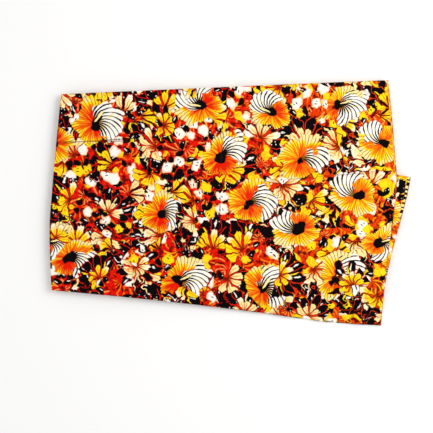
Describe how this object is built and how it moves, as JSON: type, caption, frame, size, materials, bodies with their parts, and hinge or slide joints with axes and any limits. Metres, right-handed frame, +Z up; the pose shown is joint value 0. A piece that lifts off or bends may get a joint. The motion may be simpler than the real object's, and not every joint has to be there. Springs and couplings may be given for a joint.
{
  "type": "folded wax print fabric",
  "caption": "Length of printed cotton cloth folded into a flat layered bundle, with its last fold askew over the front and the corner of the tucked end out at one side.",
  "frame": {"origin": "on the surface the bundle lies on, under the middle of its outline", "axes": "+X along the folds towards the selvedges, +Y away from the skewed fold at the front, +Z up out of the top panel"},
  "size_m": [0.6334, 0.4314, 0.0146],
  "materials": {
    "hidden_cloth": "printed cotton seen on its fold lines, with a dry starched hand",
    "tucked_cloth": "printed cotton with a dry starched hand",
    "top_cloth": "printed cotton with a dry starched hand"
  },
  "bodies": {
    "root": {"hidden_layers": "hidden_cloth", "tucked_end": "tucked_cloth", "top_panel": "top_cloth"}
  },
  "joints": []
}
